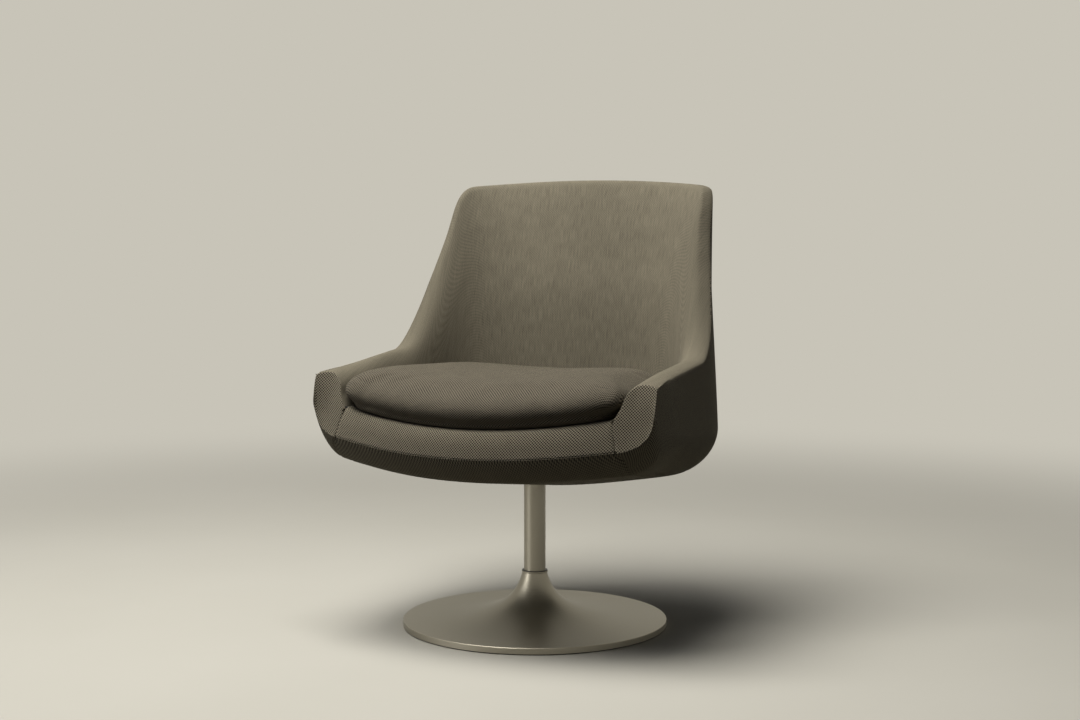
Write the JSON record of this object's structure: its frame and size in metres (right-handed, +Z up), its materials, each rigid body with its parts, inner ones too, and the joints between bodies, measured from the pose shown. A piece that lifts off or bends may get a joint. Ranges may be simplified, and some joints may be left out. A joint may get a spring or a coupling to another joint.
{
  "type": "swivel chair",
  "caption": "Upholstered swivel lounge chair: a bucket tub with low arms, raked sides and a loose seat cushion, on a slim column and a spun trumpet foot.",
  "frame": {"origin": "centre of the floor pad's underside, on the column axis", "axes": "+Z up, the chair faces -Y, +X to the right of someone who looks at its front"},
  "size_m": [0.652, 0.62, 0.827],
  "materials": {
    "felt": "felt",
    "cast": "rough cast",
    "spun_aluminium": "circular brushed",
    "black_plastic": "matte",
    "plain_steel": "bright zinc",
    "bush_plastic": "natural nylon",
    "black_steel": "satin black",
    "plywood": "raw plywood",
    "shell_plastic": "moulded rigid foam",
    "foam": "open cell foam",
    "upholstery": "two tone basket weave",
    "cushion_fabric": "two tone basket weave"
  },
  "bodies": {
    "base": {"floor_pad": "felt", "ballast_plate": "cast", "trumpet_foot": "spun_aluminium", "neck_collar": "black_plastic", "column_tube": "spun_aluminium", "column_plug": "plain_steel", "tie_bolt": "plain_steel", "tie_washer": "plain_steel", "upper_bush": "bush_plastic", "lower_bush": "bush_plastic"},
    "seat": {"thrust_washer": "plain_steel", "spindle": "plain_steel", "retaining_ring": "plain_steel", "seat_plate": "black_steel", "seat_bolts": "plain_steel", "bolt_washers": "plain_steel", "t_nuts": "plain_steel", "mount_board": "plywood", "tub_shell": "shell_plastic", "outer_cover": "upholstery", "inner_foam": "foam", "inner_cover": "upholstery", "wing_pad_left": "upholstery", "wing_pad_right": "upholstery", "front_rail": "upholstery", "deck_foam": "foam", "seat_cushion": "cushion_fabric"}
  },
  "joints": [
    {"name": "seat_swivel", "type": "hinge", "parent": "base", "child": "seat", "pos_m": [0, 0, 0.29], "axis": [0, 0, 1], "continuous": true}
  ]
}
